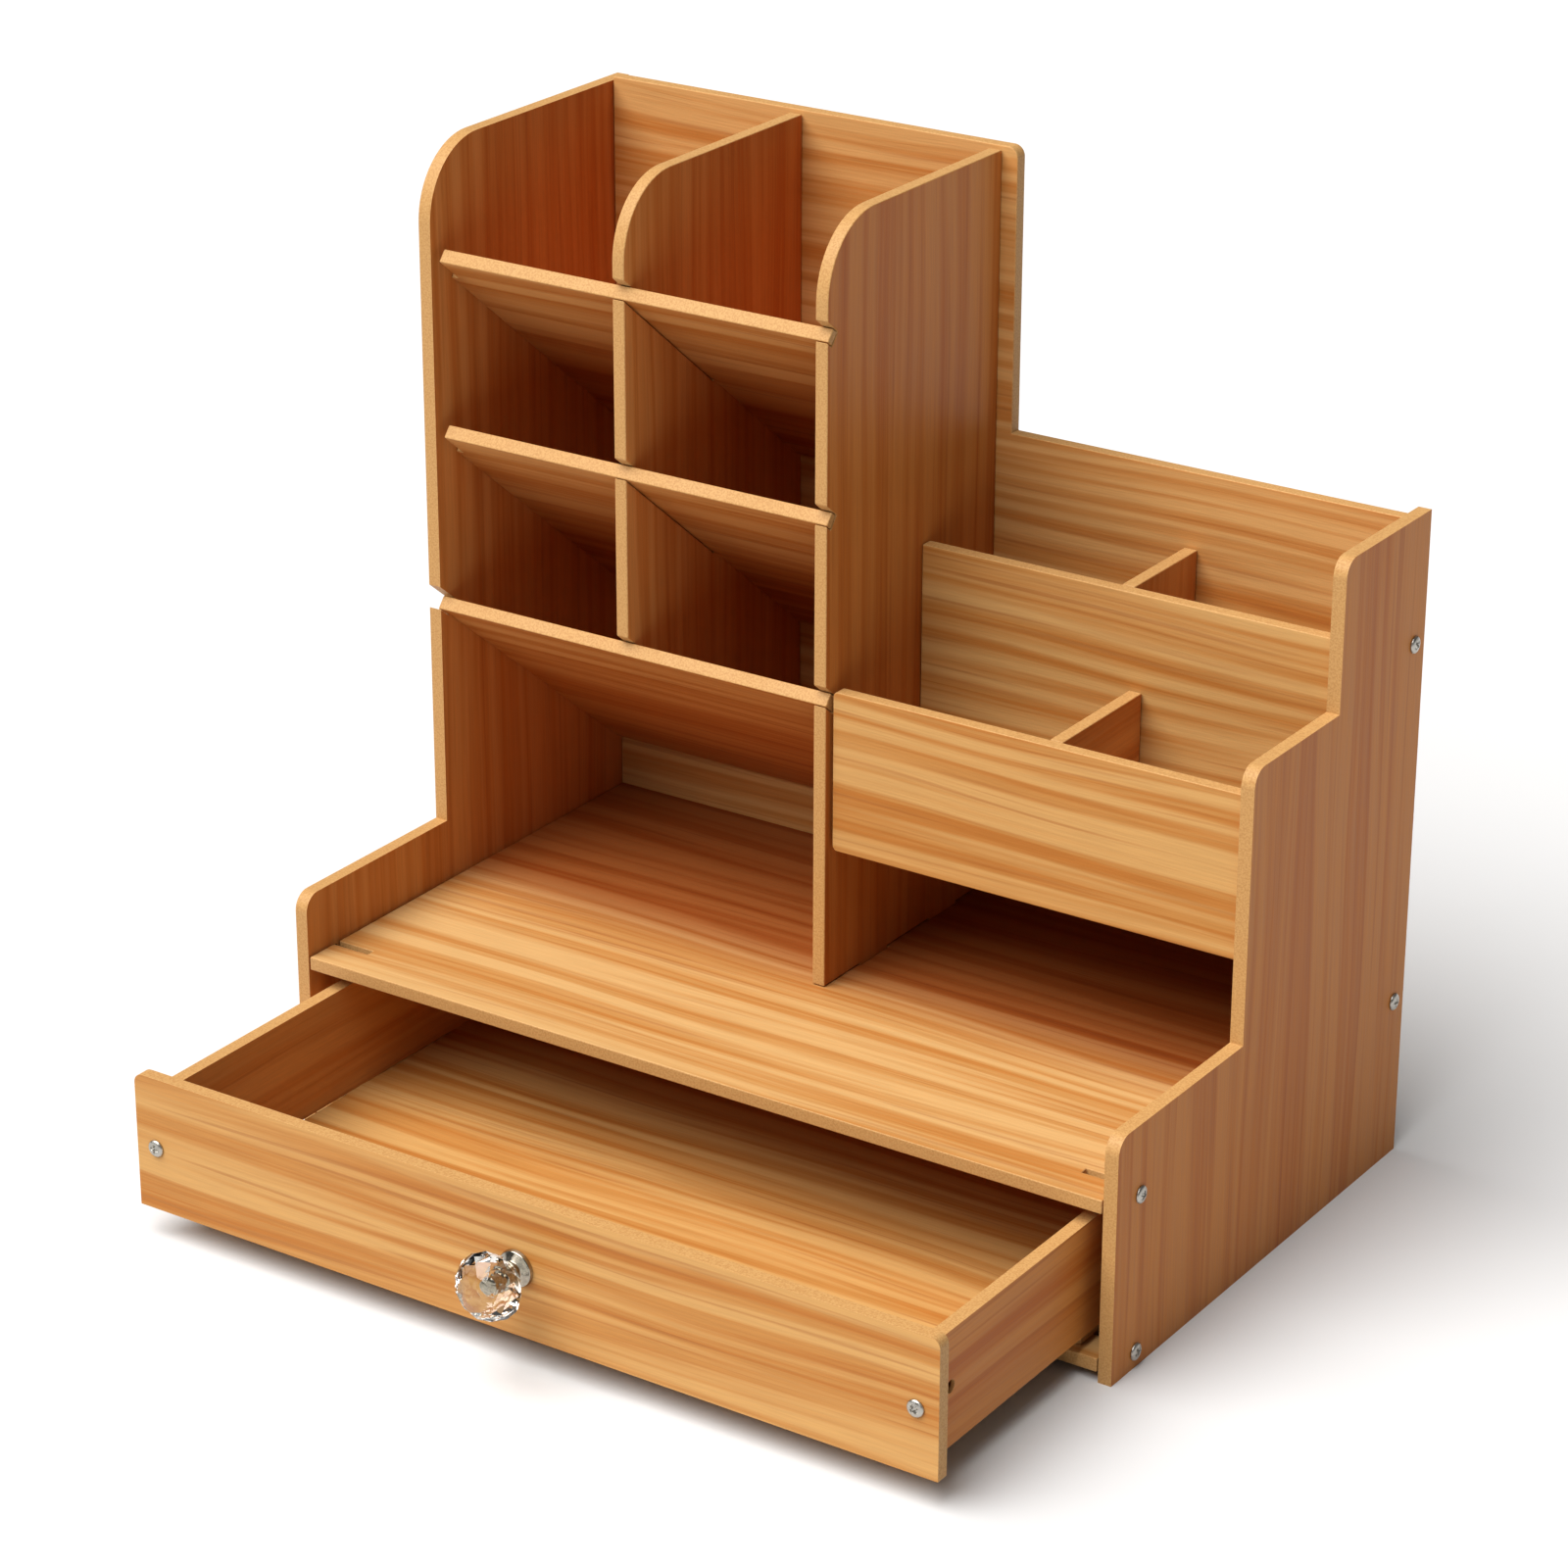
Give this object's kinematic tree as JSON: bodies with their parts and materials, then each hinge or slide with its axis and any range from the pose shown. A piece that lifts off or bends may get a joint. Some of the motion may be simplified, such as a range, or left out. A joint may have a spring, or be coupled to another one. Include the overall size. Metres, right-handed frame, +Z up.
{
  "type": "desk organizer",
  "caption": "Wooden desk organizer: a tower of cubbies beside stepped pen and phone compartments, open bays on a deck, and a sliding drawer with a faceted clear knob.",
  "frame": {"origin": "centre of the footprint, on the surface the organizer stands on, with the footprint measured from the drawer knob's outer end to the rear edge while the drawer is part-way out", "axes": "+Z up, -Y towards the front where the drawer opens, +X to the right seen from the front, with the tower at -X"},
  "size_m": [0.338, 0.3188, 0.3438],
  "materials": {
    "board_wood": "satin printed cherry-wood grain film on thin fibreboard",
    "screw_steel": "nickel-plated cross-head screws",
    "knob_metal": "polished plated knob base",
    "knob_clear": "clear faceted acrylic"
  },
  "bodies": {
    "cabinet": {"back_panel": "board_wood", "bottom_board": "board_wood", "compartment_floor": "board_wood", "deck_board": "board_wood", "left_side_panel": "board_wood", "middle_row_divider": "board_wood", "middle_row_front_panel": "board_wood", "pen_row_divider": "board_wood", "pen_row_front_panel": "board_wood", "right_side_panel": "board_wood", "screw_left_back_high": "screw_steel", "screw_left_back_low": "screw_steel", "screw_left_bottom": "screw_steel", "screw_left_deck": "screw_steel", "screw_right_back_high": "screw_steel", "screw_right_back_low": "screw_steel", "screw_right_bottom": "screw_steel", "screw_right_deck": "screw_steel", "tower_divider": "board_wood", "tower_right_panel": "board_wood", "tower_shelf_lower": "board_wood", "tower_shelf_middle": "board_wood", "tower_shelf_upper": "board_wood"},
    "drawer": {"drawer_back": "board_wood", "drawer_bottom": "board_wood", "drawer_front": "board_wood", "drawer_left_side": "board_wood", "drawer_right_side": "board_wood", "knob_base": "knob_metal", "knob_crystal": "knob_clear", "knob_screw": "screw_steel", "screw_drawer_left": "screw_steel", "screw_drawer_right": "screw_steel"}
  },
  "joints": [
    {"name": "drawer_slide", "type": "slide", "parent": "cabinet", "child": "drawer", "axis": [0, -1, 0], "range_m": [-0.0954, 0.055]}
  ]
}
